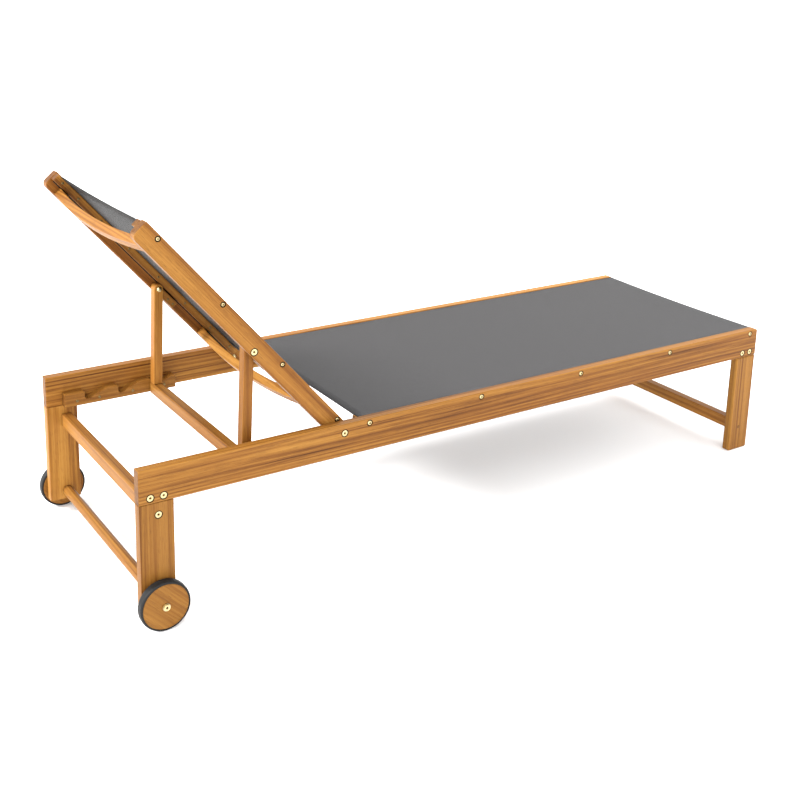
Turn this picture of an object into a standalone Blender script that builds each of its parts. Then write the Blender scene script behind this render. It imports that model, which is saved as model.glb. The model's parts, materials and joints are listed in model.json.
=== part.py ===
"""Reclining sun lounger: a hardwood frame on two wheels with two mesh slings.

Frame: metres, +Z up, the floor is Z = 0. +X runs towards the foot end, so the
wheels and the backrest are at -X. "right" is the side at -Y and "left" the
side at +Y, as the person lying on it faces the foot end.

The backrest is modelled flat in the frame of its pivot empty, which is then
turned up about Y. There, -X runs up the backrest and +Z points out of its
front. The prop hangs straight down in the frame of its own pivot empty.
"""

import math

import bmesh
import bpy
from mathutils import Matrix, Vector

# ---------------------------------------------------------------- main sizes
RAIL_LENGTH = 1.800
FRAME_WIDTH = 0.608
RAIL_THICK = 0.0235
RAIL_TOP = 0.350
RAIL_BOTTOM = 0.275
RAIL_CORNER = 0.006
WOOD_EASE = 0.0018
FOOT_EASE = 0.0035
GAP = 0.0003

WHEEL_RADIUS = 0.0545
WHEEL_DISC_RADIUS = 0.0496
WHEEL_WIDTH = 0.0216
WHEEL_FROM_HEAD = 0.0414
WHEEL_STANDOFF = 0.0058
WHEEL_SEGMENTS = 48
BUSH_RADIUS = 0.0070
BUSH_BORE_RADIUS = 0.0043
WASHER_RADIUS = 0.0084

HEAD_LEG_WIDTH = 0.0745
HEAD_LEG_BOTTOM = 0.032
FOOT_LEG_WIDTH = 0.071
TENON_THICK = 0.0110
TENON_HEIGHT = 0.0450
TENON_SHOULDER = 0.0100
CROSSBAR_WIDTH = 0.0240
CROSSBAR_HEIGHT = 0.0320
CROSSBAR_FROM_HEAD = 0.0465
CROSSBAR_TOP = 0.2540
STRETCHER_FROM_HEAD = 1.7615
STRETCHER_TOP = 0.0870
AXLE_BAR_RADIUS = 0.0125

PIVOT_FROM_HEAD = 0.474
BACK_ANGLE = math.radians(48.5)
BACK_LENGTH = 0.674
BACK_RAIL_DEPTH = 0.042
BACK_RAIL_THICK = 0.0235
BACK_SIDE_GAP = 0.0027
BACK_CORNER = 0.004
BACK_REAR_CORNER = 0.014

BATTEN_THICK = 0.018
BATTEN_DEPTH = 0.0185
BATTEN_DROP = 0.0015
BATTEN_SLOT = 0.0022
SLING_THICK = 0.0015
SEAT_BATTEN_START = 0.5180
SEAT_BATTEN_END = 1.790
SEAT_SLING_START = 0.5225
SEAT_SLING_END = 1.797
BACK_BATTEN_START = 0.014
BACK_BATTEN_END = 0.673
BACK_SLING_START = 0.028
BACK_SLING_END = 0.664

BOW_WIDTH = 0.024
BOW_DEPTH = 0.019
BOW_SAG = 0.018
BOW_STEPS = 12
BACK_BOW_PLACES = {"head_bow": 0.630, "lumbar_bow": 0.114}
SEAT_BOW_PLACES = {"seat_bow_head": 0.640, "seat_bow_foot": 1.690}

PROP_PIVOT_UP = 0.297
PROP_PIVOT_BACK = 0.011
PROP_LEAN = math.radians(1.8)
PROP_LENGTH = 0.256
PROP_LEG_WIDTH = 0.0225
PROP_LEG_THICK = 0.0235
PROP_BAR_WIDTH = 0.0240
PROP_BAR_HEIGHT = 0.0280
STOP_START = 0.2313
STOP_DEPTH = 0.0170
STOP_THICK = 0.018

RACK_THICK = 0.021
RACK_TOP = 0.3075
RACK_START = 0.038
RACK_END = 0.318
NOTCH_PLACES = (0.095, 0.178, 0.261)
NOTCH_FLOOR = 0.2873
NOTCH_RADIUS = 0.0075
RAMP_RUN = 0.046
RAMP_LAND = 0.012

BOLT_HEAD_RADIUS = 0.0069
BOLT_HEAD_THICK = 0.0025
BOLT_SHANK_RADIUS = 0.0030
BOLT_SOCKET_RADIUS = 0.0030
BOLT_SOCKET_DEPTH = 0.0018
BOLT_SEGMENTS = 18
SINK_RADIUS = 0.0080
SINK_DEPTH = 0.0031
HOLE_CLEARANCE = 0.0003
SHORT_BOLT = 0.0210
CROSSBAR_BOLT = 0.0480
PIVOT_BOLT_RADIUS = 0.0035
WHEEL_BOLT_RADIUS = 0.0040
NUT_RADIUS = 0.0065
NUT_HEIGHT = 0.0075

SEAT_SCREW_PLACES = (0.538, 0.8465, 1.155, 1.4635, 1.772)
SEAT_SCREW_DROP = 0.0105
SEAT_SCREW_SEAT = 0.0075
BACK_SCREW_PLACES = (0.0204, 0.2240, 0.4276, 0.6312)
BACK_SCREW_RISE = 0.0125
BACK_SCREW_SEAT = 0.0065
SCREW_SEAT_DEPTH = 0.0027
HEAD_BOLT_PLACES = (0.0245, 0.0530)
FOOT_BOLT_PLACES = (1.747, 1.776)
LEG_BOLT_RISE = 0.0125
CROSSBAR_BOLT_FROM_HEAD = 0.0410
CROSSBAR_BOLT_HEIGHT = 0.2480

# ------------------------------------------------------------- worked out
WHEEL_OVERHANG = WHEEL_RADIUS - WHEEL_FROM_HEAD
HEAD_X = (WHEEL_OVERHANG - RAIL_LENGTH) / 2
FOOT_X = HEAD_X + RAIL_LENGTH
OUTER_Y = FRAME_WIDTH / 2
INNER_Y = OUTER_Y - RAIL_THICK
BACK_OUTER_Y = INNER_Y - BACK_SIDE_GAP
BACK_INNER_Y = BACK_OUTER_Y - BACK_RAIL_THICK
HALF_BACK = BACK_RAIL_DEPTH / 2
PIVOT_X = HEAD_X + PIVOT_FROM_HEAD
PIVOT_Z = RAIL_TOP - HALF_BACK
WHEEL_X = HEAD_X + WHEEL_FROM_HEAD
WHEEL_INNER_Y = OUTER_Y + WHEEL_STANDOFF
WHEEL_OUTER_Y = WHEEL_INNER_Y + WHEEL_WIDTH
BATTEN_TOP = HALF_BACK - BATTEN_DROP
SIDES = {"right": -1, "left": 1}

ROUND_SMOOTH = math.radians(35)


# ---------------------------------------------------------------- materials
def material(name, colour, roughness, metallic=0.0):
    """Make a plain Principled material."""
    made = bpy.data.materials.new(name)
    made.use_nodes = True
    shader = made.node_tree.nodes["Principled BSDF"]
    shader.inputs["Base Color"].default_value = (*colour, 1.0)
    shader.inputs["Roughness"].default_value = roughness
    shader.inputs["Metallic"].default_value = metallic
    made.diffuse_color = (*colour, 1.0)
    return made


def wood(name):
    """Oiled acacia for one named board."""
    return material("wood_" + name, (0.56, 0.27, 0.085), 0.45)


def brass(name):
    """Yellow passivated steel for one named fastener."""
    return material("brass_" + name, (0.72, 0.58, 0.30), 0.28, 1.0)


def fabric(name):
    """Dark grey woven mesh for one named sling."""
    return material("fabric_" + name, (0.10, 0.10, 0.105), 0.75)


def rubber(name):
    """Black rubber for one named tyre."""
    return material("rubber_" + name, (0.02, 0.02, 0.02), 0.80)


def nylon(name):
    """Grey nylon for one named bush or washer."""
    return material("nylon_" + name, (0.30, 0.30, 0.30), 0.50)


# ------------------------------------------------------------- mesh helpers
def place(name, bm, parent=None, finish=None, location=(0, 0, 0), turn=(0, 0, 0)):
    """Turn a bmesh into a scene object."""
    bmesh.ops.recalc_face_normals(bm, faces=bm.faces)
    mesh = bpy.data.meshes.new(name)
    bm.to_mesh(mesh)
    bm.free()
    made = bpy.data.objects.new(name, mesh)
    bpy.context.scene.collection.objects.link(made)
    made.location = location
    made.rotation_euler = turn
    made.parent = parent
    if finish is not None:
        mesh.materials.append(finish)
    return made


def pivot_empty(name, location, tilt=0.0):
    """Add an empty on a joint's axis, tilted about Y."""
    made = bpy.data.objects.new(name, None)
    bpy.context.scene.collection.objects.link(made)
    made.location = location
    made.rotation_euler = (0, tilt, 0)
    return made


def prism(outline, y_low, y_high):
    """Extrude an outline of (x, z) points along Y into a closed solid."""
    bm = bmesh.new()
    low = [bm.verts.new((x, y_low, z)) for x, z in outline]
    bm.faces.new(low)
    grown = bmesh.ops.extrude_face_region(bm, geom=bm.faces[:])
    moved = [item for item in grown["geom"] if isinstance(item, bmesh.types.BMVert)]
    bmesh.ops.translate(bm, verts=moved, vec=(0, y_high - y_low, 0))
    return bm


def block(x_range, y_range, z_range):
    """A plain box between three pairs of limits."""
    outline = [(x_range[0], z_range[0]), (x_range[1], z_range[0])]
    outline += [(x_range[1], z_range[1]), (x_range[0], z_range[1])]
    return prism(outline, min(y_range), max(y_range))


def arc(centre, radius, start, end, steps):
    """Points (x, z) along an arc; angles in degrees, anticlockwise from +X."""
    points = []
    for step in range(steps + 1):
        angle = math.radians(start + (end - start) * step / steps)
        points.append((centre[0] + radius * math.cos(angle), centre[1] + radius * math.sin(angle)))
    return points


def ring(bm, radius, y, count):
    """A loop of vertices about the Y axis."""
    made = []
    for step in range(count):
        angle = 2 * math.pi * step / count
        made.append(bm.verts.new((radius * math.sin(angle), y, -radius * math.cos(angle))))
    return made


def bridge(bm, first, second):
    """Join two equal loops with a band of faces."""
    count = len(first)
    for step in range(count):
        after = (step + 1) % count
        bm.faces.new((first[step], first[after], second[after], second[step]))


def turned(profile, count):
    """Closed solid turned about Y from (radius, y) points, capped at both ends."""
    bm = bmesh.new()
    loops = [ring(bm, radius, y, count) for radius, y in profile]
    for first, second in zip(loops, loops[1:]):
        bridge(bm, first, second)
    bm.faces.new(loops[0])
    bm.faces.new(loops[-1])
    return bm


def turned_ring(profile, count):
    """Closed ring turned about Y from a closed profile of (radius, y) points."""
    bm = bmesh.new()
    loops = [ring(bm, radius, y, count) for radius, y in profile]
    for first, second in zip(loops, loops[1:] + loops[:1]):
        bridge(bm, first, second)
    return bm


def ease(made, width=WOOD_EASE, segments=2):
    """Round the sharp edges of a board."""
    bevel = made.modifiers.new("eased_edges", "BEVEL")
    bevel.width = width
    bevel.segments = segments
    bevel.limit_method = "ANGLE"
    bevel.angle_limit = ROUND_SMOOTH
    bevel.harden_normals = False


def smooth(made):
    """Shade round faces smooth and keep sharp edges."""
    made.data.shade_smooth()
    made.data.set_sharp_from_angle(angle=ROUND_SMOOTH)


def cut(made, bm, name):
    """Cut a board with a hidden cutter made from a bmesh."""
    cutter = place(name, bm, parent=made.parent)
    cutter.hide_render = True
    cutter.display_type = "WIRE"
    boolean = made.modifiers.new(name, "BOOLEAN")
    boolean.operation = "DIFFERENCE"
    boolean.solver = "EXACT"
    boolean.object = cutter


def join(target, bm, matrix):
    """Add one bmesh to another after a transform, and free it."""
    bmesh.ops.recalc_face_normals(bm, faces=bm.faces)
    bmesh.ops.transform(bm, matrix=matrix, verts=bm.verts)
    scratch = bpy.data.meshes.new("scratch")
    bm.to_mesh(scratch)
    bm.free()
    target.from_mesh(scratch)
    bpy.data.meshes.remove(scratch)


# ---------------------------------------------------------- holes and bolts
def hole(depth, shank_radius=BOLT_SHANK_RADIUS, sink=True):
    """Solid of one hole that opens at y = 0 and runs towards -Y."""
    proud = 0.002
    radius = shank_radius + HOLE_CLEARANCE
    if not sink:
        return turned([(radius, proud), (radius, -depth)], BOLT_SEGMENTS)
    profile = [(SINK_RADIUS, proud), (SINK_RADIUS, -SINK_DEPTH)]
    profile += [(radius, -SINK_DEPTH), (radius, -depth)]
    return turned(profile, BOLT_SEGMENTS)


def pocket(radius):
    """Shallow seat for a sling screw's head."""
    return turned([(radius, 0.002), (radius, -SCREW_SEAT_DEPTH)], BOLT_SEGMENTS)


def side_matrix(side, x, y, z):
    """Place a hole or bolt that points out of the right or left side."""
    turn = Matrix.Rotation(math.pi, 4, "Z") if side < 0 else Matrix.Identity(4)
    return Matrix.Translation(Vector((x, side * y, z))) @ turn


def bolt_mesh(length, shank_radius, head_radius=BOLT_HEAD_RADIUS):
    """Flat-head bolt with a hexagon socket; the head's top is at y = 0."""
    bm = bmesh.new()
    rim = ring(bm, head_radius, 0, BOLT_SEGMENTS)
    under = ring(bm, head_radius, -BOLT_HEAD_THICK, BOLT_SEGMENTS)
    neck = ring(bm, shank_radius, -BOLT_HEAD_THICK, BOLT_SEGMENTS)
    tip = ring(bm, shank_radius, -length, BOLT_SEGMENTS)
    mouth = ring(bm, BOLT_SOCKET_RADIUS, 0, 6)
    floor = ring(bm, BOLT_SOCKET_RADIUS, -BOLT_SOCKET_DEPTH, 6)
    for first, second in ((rim, under), (under, neck), (neck, tip), (mouth, floor)):
        bridge(bm, first, second)
    bm.faces.new(tip)
    bm.faces.new(floor)
    for corner in range(6):
        here = mouth[corner]
        following = mouth[(corner + 1) % 6]
        near = [rim[(3 * corner + step) % BOLT_SEGMENTS] for step in range(4)]
        bm.faces.new((here, near[0], near[1]))
        bm.faces.new((here, near[1], near[2], following))
        bm.faces.new((following, near[2], near[3]))
    return bm


def add_bolt(name, side, spot, length, parent=None, shank_radius=BOLT_SHANK_RADIUS):
    """A flat-head bolt in its sunk hole; spot is the board's face at the hole."""
    x, y, z = spot
    sunk = y - SINK_DEPTH + BOLT_HEAD_THICK + GAP
    turn = (0, 0, math.pi) if side < 0 else (0, 0, 0)
    bm = bolt_mesh(length, shank_radius)
    made = place(name, bm, parent, brass(name), (x, side * sunk, z), turn)
    smooth(made)
    return made


def add_cap_nut(name, side, spot, parent=None):
    """A domed cap nut on a bolt's inner end; its flat face is at spot."""
    x, y, z = spot
    face = y - GAP
    dome = [(NUT_RADIUS, 0), (NUT_RADIUS, -0.45 * NUT_HEIGHT)]
    dome += [(0.80 * NUT_RADIUS, -0.80 * NUT_HEIGHT), (0.40 * NUT_RADIUS, -NUT_HEIGHT)]
    turn = (0, 0, math.pi) if side < 0 else (0, 0, 0)
    made = place(name, turned(dome, BOLT_SEGMENTS), parent, brass(name), (x, side * face, z), turn)
    smooth(made)
    return made


# ------------------------------------------------------------------- frame
def tenon_block(x_low, x_high, side, slack=0.0):
    """A leg's tenon, or its mortise when slack is given."""
    middle = (OUTER_Y + INNER_Y) / 2
    y_range = (side * (middle - TENON_THICK / 2 - slack), side * (middle + TENON_THICK / 2 + slack))
    low = RAIL_BOTTOM - 0.010
    x_range = (x_low + TENON_SHOULDER - slack, x_high - TENON_SHOULDER + slack)
    return block(x_range, y_range, (low, RAIL_BOTTOM + TENON_HEIGHT + slack))


def add_side_rail(name, side):
    """Long rail with mortises, bolt holes and screw seats."""
    corner = (FOOT_X - RAIL_CORNER, RAIL_TOP - RAIL_CORNER)
    outline = [(HEAD_X, RAIL_BOTTOM), (FOOT_X, RAIL_BOTTOM)]
    outline += arc(corner, RAIL_CORNER, 0, 90, 5) + [(HEAD_X, RAIL_TOP)]
    y_range = sorted((side * INNER_Y, side * OUTER_Y))
    rail = place(name, prism(outline, *y_range), finish=wood(name))
    ease(rail)
    mortises = bmesh.new()
    spans = ((HEAD_X, HEAD_X + HEAD_LEG_WIDTH), (FOOT_X - FOOT_LEG_WIDTH, FOOT_X))
    for low, high in spans:
        join(mortises, tenon_block(low, high, side, GAP), Matrix.Identity(4))
    cut(rail, mortises, name + "_mortises")
    holes = bmesh.new()
    for place_x in HEAD_BOLT_PLACES + FOOT_BOLT_PLACES:
        spot = side_matrix(side, HEAD_X + place_x, OUTER_Y, RAIL_BOTTOM + LEG_BOLT_RISE)
        join(holes, hole(SHORT_BOLT), spot)
    for place_x in SEAT_SCREW_PLACES:
        spot = side_matrix(side, HEAD_X + place_x, OUTER_Y, RAIL_TOP - SEAT_SCREW_DROP)
        join(holes, pocket(SEAT_SCREW_SEAT), spot)
    spot = side_matrix(side, PIVOT_X, OUTER_Y, PIVOT_Z)
    join(holes, hole(RAIL_THICK + 0.002, PIVOT_BOLT_RADIUS), spot)
    cut(rail, holes, name + "_holes")


def add_leg(name, side, x_low, x_high, bottom, bolt_places, easing=WOOD_EASE):
    """A leg board with a tenon up into the rail."""
    top = RAIL_BOTTOM - GAP
    tenon_low = x_low + TENON_SHOULDER
    tenon_high = x_high - TENON_SHOULDER
    y_range = sorted((side * INNER_Y, side * OUTER_Y))
    leg = place(name, block((x_low, x_high), y_range, (bottom, top)), finish=wood(name))
    ease(leg, easing)
    tenon = place(name + "_tenon", tenon_block(x_low, x_high, side), leg.parent)
    tenon.hide_render = True
    tenon.display_type = "WIRE"
    union = leg.modifiers.new("tenon", "BOOLEAN")
    union.operation = "UNION"
    union.solver = "EXACT"
    union.object = tenon
    holes = bmesh.new()
    for place_x in bolt_places:
        x = min(max(HEAD_X + place_x, tenon_low), tenon_high)
        spot = side_matrix(side, x, OUTER_Y, RAIL_BOTTOM + LEG_BOLT_RISE)
        join(holes, hole(SHORT_BOLT, sink=False), spot)
    if x_low == HEAD_X:
        spot = side_matrix(side, HEAD_X + CROSSBAR_BOLT_FROM_HEAD, OUTER_Y, CROSSBAR_BOLT_HEIGHT)
        join(holes, hole(RAIL_THICK + 0.002), spot)
        spot = side_matrix(side, WHEEL_X, OUTER_Y, WHEEL_RADIUS)
        join(holes, hole(RAIL_THICK + 0.002, WHEEL_BOLT_RADIUS, False), spot)
    cut(leg, holes, name + "_holes")


def add_head_crossbar():
    """Bar between the head legs, drilled at both ends for its bolts."""
    middle = HEAD_X + CROSSBAR_FROM_HEAD
    x_range = (middle - CROSSBAR_WIDTH / 2, middle + CROSSBAR_WIDTH / 2)
    z_range = (CROSSBAR_TOP - CROSSBAR_HEIGHT, CROSSBAR_TOP)
    y_range = (GAP - INNER_Y, INNER_Y - GAP)
    bar = place("head_crossbar", block(x_range, y_range, z_range), finish=wood("head_crossbar"))
    ease(bar, 0.0025)
    holes = bmesh.new()
    for side in SIDES.values():
        spot = side_matrix(side, HEAD_X + CROSSBAR_BOLT_FROM_HEAD, INNER_Y, CROSSBAR_BOLT_HEIGHT)
        join(holes, hole(CROSSBAR_BOLT - RAIL_THICK + 0.002, sink=False), spot)
    cut(bar, holes, "head_crossbar_holes")


def add_foot_stretcher():
    """Low bar between the foot legs, glued and dowelled."""
    middle = HEAD_X + STRETCHER_FROM_HEAD
    x_range = (middle - CROSSBAR_WIDTH / 2, middle + CROSSBAR_WIDTH / 2)
    z_range = (STRETCHER_TOP - CROSSBAR_HEIGHT, STRETCHER_TOP)
    bm = block(x_range, (GAP - INNER_Y, INNER_Y - GAP), z_range)
    bar = place("foot_stretcher", bm, finish=wood("foot_stretcher"))
    ease(bar)


def add_axle_bar():
    """Round wooden bar between the head legs, drilled for the wheel bolts."""
    reach = INNER_Y - GAP
    bm = turned([(AXLE_BAR_RADIUS, -reach), (AXLE_BAR_RADIUS, reach)], 24)
    bar = place("axle_bar", bm, finish=wood("axle_bar"), location=(WHEEL_X, 0, WHEEL_RADIUS))
    smooth(bar)
    holes = bmesh.new()
    for side in SIDES.values():
        spot = side_matrix(side, WHEEL_X, INNER_Y, WHEEL_RADIUS)
        join(holes, hole(0.027, WHEEL_BOLT_RADIUS, False), spot)
    cut(bar, holes, "axle_bar_holes")


def bow_solid(x_middle, reach, z_low):
    """A spreader whose middle hangs lower than its ends."""
    bm = bmesh.new()
    sections = []
    for step in range(BOW_STEPS + 1):
        across = 2 * step / BOW_STEPS - 1
        drop = BOW_SAG * (1 - across * across)
        y = across * reach
        low = z_low - drop
        corners = [(-BOW_WIDTH / 2, low), (BOW_WIDTH / 2, low)]
        corners += [(BOW_WIDTH / 2, low + BOW_DEPTH), (-BOW_WIDTH / 2, low + BOW_DEPTH)]
        sections.append([bm.verts.new((x_middle + x, y, z)) for x, z in corners])
    for first, second in zip(sections, sections[1:]):
        bridge(bm, first, second)
    bm.faces.new(sections[0])
    bm.faces.new(sections[-1])
    return bm


def add_seat_bow(name, place_x):
    """Spreader below the seat sling."""
    z_low = RAIL_TOP - BATTEN_DROP - BATTEN_DEPTH - 0.001 - BOW_DEPTH
    bm = bow_solid(HEAD_X + place_x, INNER_Y - GAP, z_low)
    bow = place(name, bm, finish=wood(name))
    ease(bow)


def add_seat_batten(name, side):
    """Batten that clamps one long edge of the seat sling."""
    top = RAIL_TOP - BATTEN_DROP - SLING_THICK - GAP
    x_range = (HEAD_X + SEAT_BATTEN_START, HEAD_X + SEAT_BATTEN_END)
    face = INNER_Y - BATTEN_SLOT
    y_range = (side * face, side * (face - BATTEN_THICK))
    z_range = (top - BATTEN_DEPTH + SLING_THICK, top)
    batten = place(name, block(x_range, y_range, z_range), finish=wood(name))
    ease(batten, 0.0015)


def add_seat_sling():
    """Plain closed sheet for the seat fabric."""
    top = RAIL_TOP - BATTEN_DROP
    x_range = (HEAD_X + SEAT_SLING_START, HEAD_X + SEAT_SLING_END)
    reach = INNER_Y - GAP
    bm = block(x_range, (-reach, reach), (top - SLING_THICK, top))
    place("seat_sling", bm, finish=fabric("seat_sling"))


# ------------------------------------------------------------------- racks
def rack_outline():
    """Side view of a rack: three saw-tooth notches, steep on the head side."""
    points = [(HEAD_X + RACK_START, RAIL_BOTTOM), (HEAD_X + RACK_END, RAIL_BOTTOM)]
    points.append((HEAD_X + RACK_END, RACK_TOP - 0.002))
    for place_x in reversed(NOTCH_PLACES):
        middle = HEAD_X + place_x
        floor = (middle, NOTCH_FLOOR + NOTCH_RADIUS)
        crest = min(middle + RAMP_RUN, HEAD_X + RACK_END - 0.004)
        land = min(crest + RAMP_LAND, HEAD_X + RACK_END - 0.002)
        points.append((land, RACK_TOP))
        points.append((crest, RACK_TOP - 0.001))
        points += arc(floor, NOTCH_RADIUS, -50, -180, 6)
        points.append((middle - NOTCH_RADIUS - 0.0008, RACK_TOP - 0.001))
        points.append((middle - NOTCH_RADIUS - 0.0018, RACK_TOP))
    points.append((HEAD_X + RACK_START, RACK_TOP))
    return points


def add_rack(name, side):
    """Notched rack on the rail's inner face."""
    y_range = sorted((side * (INNER_Y - GAP), side * (INNER_Y - GAP - RACK_THICK)))
    rack = place(name, prism(rack_outline(), *y_range), finish=wood(name))
    ease(rack, 0.0006, 1)
    smooth(rack)


# ---------------------------------------------------------------- backrest
def add_back_rail(name, side, pivot):
    """Backrest side rail: round at its pivot, with one larger corner at its top."""
    top_x = -BACK_LENGTH
    inset = BACK_CORNER
    rear = BACK_REAR_CORNER
    outline = arc((0, 0), HALF_BACK, -90, 90, 12)
    outline += arc((top_x + inset, HALF_BACK - inset), inset, 90, 180, 5)
    outline += arc((top_x + rear, rear - HALF_BACK), rear, 180, 270, 6)
    y_range = sorted((side * BACK_INNER_Y, side * BACK_OUTER_Y))
    rail = place(name, prism(outline, *y_range), pivot, wood(name))
    ease(rail)
    smooth(rail)
    holes = bmesh.new()
    through = BACK_RAIL_THICK + 0.002
    spot = side_matrix(side, 0, BACK_OUTER_Y, 0)
    join(holes, hole(through, PIVOT_BOLT_RADIUS, False), spot)
    spot = side_matrix(side, -PROP_PIVOT_UP, BACK_OUTER_Y, -PROP_PIVOT_BACK)
    join(holes, hole(through, PIVOT_BOLT_RADIUS), spot)
    for up in BACK_SCREW_PLACES:
        join(holes, pocket(BACK_SCREW_SEAT), side_matrix(side, -up, BACK_OUTER_Y, BACK_SCREW_RISE))
    cut(rail, holes, name + "_holes")


def add_back_batten(name, side, pivot):
    """Batten that clamps one long edge of the back sling."""
    top = BATTEN_TOP - SLING_THICK - GAP
    face = BACK_INNER_Y - BATTEN_SLOT
    y_range = (side * face, side * (face - BATTEN_THICK))
    z_range = (top - BATTEN_DEPTH + SLING_THICK, top)
    bm = block((-BACK_BATTEN_END, -BACK_BATTEN_START), y_range, z_range)
    batten = place(name, bm, pivot, wood(name))
    ease(batten, 0.0015)


def add_back_bow(name, place_up, pivot):
    """Spreader between the back rails."""
    z_low = BATTEN_TOP - BATTEN_DEPTH - 0.001 - BOW_DEPTH
    bow = place(name, bow_solid(-place_up, BACK_INNER_Y - GAP, z_low), pivot, wood(name))
    ease(bow)


def add_back_sling(pivot):
    """Plain closed sheet for the back fabric."""
    reach = BACK_INNER_Y - GAP
    z_range = (BATTEN_TOP - SLING_THICK, BATTEN_TOP)
    bm = block((-BACK_SLING_END, -BACK_SLING_START), (-reach, reach), z_range)
    place("back_sling", bm, pivot, fabric("back_sling"))


def add_prop_stop(name, side, pivot):
    """Block that stops the prop leg; its end lies along the leg's edge."""
    swing = PROP_LEAN - BACK_ANGLE
    along = Vector((-math.sin(swing), -math.cos(swing)))
    edge = Vector((math.cos(swing), -math.sin(swing)))
    start = Vector((-PROP_PIVOT_UP, -PROP_PIVOT_BACK)) + edge * (PROP_LEG_WIDTH / 2 + 0.0006)

    def on_leg_edge(z):
        return start.x + along.x * (z - start.y) / along.y

    low = -HALF_BACK
    high = low + STOP_DEPTH
    outline = [(on_leg_edge(low), low), (-STOP_START, low), (-STOP_START, high), (on_leg_edge(high), high)]
    y_range = sorted((side * (BACK_INNER_Y - GAP), side * (BACK_INNER_Y - GAP - STOP_THICK)))
    stop = place(name, prism(outline, *y_range), pivot, wood(name))
    ease(stop, 0.001, 1)


# -------------------------------------------------------------------- prop
def prop_leg_face():
    """How far the prop legs' outer faces are from the centre plane."""
    return BACK_INNER_Y - GAP


def add_prop_leg(name, side, pivot):
    """Leg that hangs from its bolt in the back rail."""
    half = PROP_LEG_WIDTH / 2
    foot = -(PROP_LENGTH - PROP_BAR_HEIGHT / 2 - GAP)
    outline = arc((0, 0), half, 0, 180, 10) + [(-half, foot), (half, foot)]
    outer = prop_leg_face()
    y_range = sorted((side * outer, side * (outer - PROP_LEG_THICK)))
    leg = place(name, prism(outline, *y_range), pivot, wood(name))
    ease(leg, 0.0015)
    smooth(leg)
    spot = side_matrix(side, 0, outer, 0)
    holes = bmesh.new()
    join(holes, hole(PROP_LEG_THICK + 0.002, PIVOT_BOLT_RADIUS, False), spot)
    cut(leg, holes, name + "_hole")


def add_prop_crossbar(pivot):
    """Bar across the feet of the prop legs, clear of the racks and the back rails."""
    half = PROP_BAR_WIDTH / 2
    reach = prop_leg_face()
    z_range = (-PROP_LENGTH - PROP_BAR_HEIGHT / 2, -PROP_LENGTH + PROP_BAR_HEIGHT / 2)
    bm = block((-half, half), (-reach, reach), z_range)
    bar = place("prop_crossbar", bm, pivot, wood("prop_crossbar"))
    ease(bar, 0.0030, 3)


# ------------------------------------------------------------------ wheels
def add_wheel(label, side):
    """Wooden disc and rubber tyre, free to turn on a fixed nylon bush."""
    hub = pivot_empty("wheel_pivot_" + label, (WHEEL_X, 0, WHEEL_RADIUS))
    inner = WHEEL_INNER_Y
    outer = WHEEL_OUTER_Y
    rim = WHEEL_DISC_RADIUS
    bore = BUSH_RADIUS + HOLE_CLEARANCE
    disc = [(bore, inner), (rim - 0.0012, inner), (rim, inner + 0.0012)]
    disc += [(rim, outer - 0.0012), (rim - 0.0012, outer), (bore, outer)]
    disc = [(radius, side * y) for radius, y in disc]
    name = "wheel_disc_" + label
    made = place(name, turned_ring(disc, WHEEL_SEGMENTS), hub, wood(name))
    smooth(made)
    seat = rim + GAP
    tread = WHEEL_RADIUS
    tyre = [(seat, inner + 0.0005), (tread - 0.0022, inner + 0.0005), (tread - 0.0006, inner + 0.0022)]
    tyre += [(tread, inner + 0.0050), (tread, outer - 0.0050), (tread - 0.0006, outer - 0.0022)]
    tyre += [(tread - 0.0022, outer - 0.0005), (seat, outer - 0.0005)]
    tyre = [(radius, side * y) for radius, y in tyre]
    name = "tyre_" + label
    made = place(name, turned_ring(tyre, WHEEL_SEGMENTS), hub, rubber(name))
    smooth(made)


def add_axle_hardware(label, side):
    """Bush, washer and bolt that hold one wheel on its leg."""
    spot = (WHEEL_X, 0, WHEEL_RADIUS)
    start = OUTER_Y + GAP
    end = WHEEL_OUTER_Y + 0.0004
    bush = [(BUSH_BORE_RADIUS, start), (BUSH_RADIUS, start), (BUSH_RADIUS, end), (BUSH_BORE_RADIUS, end)]
    bush = [(radius, side * y) for radius, y in bush]
    name = "wheel_bush_" + label
    smooth(place(name, turned_ring(bush, 24), None, nylon(name), spot))
    low = end + GAP
    high = low + 0.0012
    inner, outer = BUSH_BORE_RADIUS, WASHER_RADIUS
    washer = [(inner, low), (outer, low), (outer, high), (inner, high)]
    washer = [(radius, side * y) for radius, y in washer]
    name = "wheel_washer_" + label
    smooth(place(name, turned_ring(washer, 24), None, brass(name), spot))
    head_top = high + GAP + BOLT_HEAD_THICK
    length = head_top - INNER_Y + 0.025
    turn = (0, 0, math.pi) if side < 0 else (0, 0, 0)
    name = "wheel_bolt_" + label
    bm = bolt_mesh(length, WHEEL_BOLT_RADIUS)
    smooth(place(name, bm, None, brass(name), (WHEEL_X, side * head_top, WHEEL_RADIUS), turn))


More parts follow.
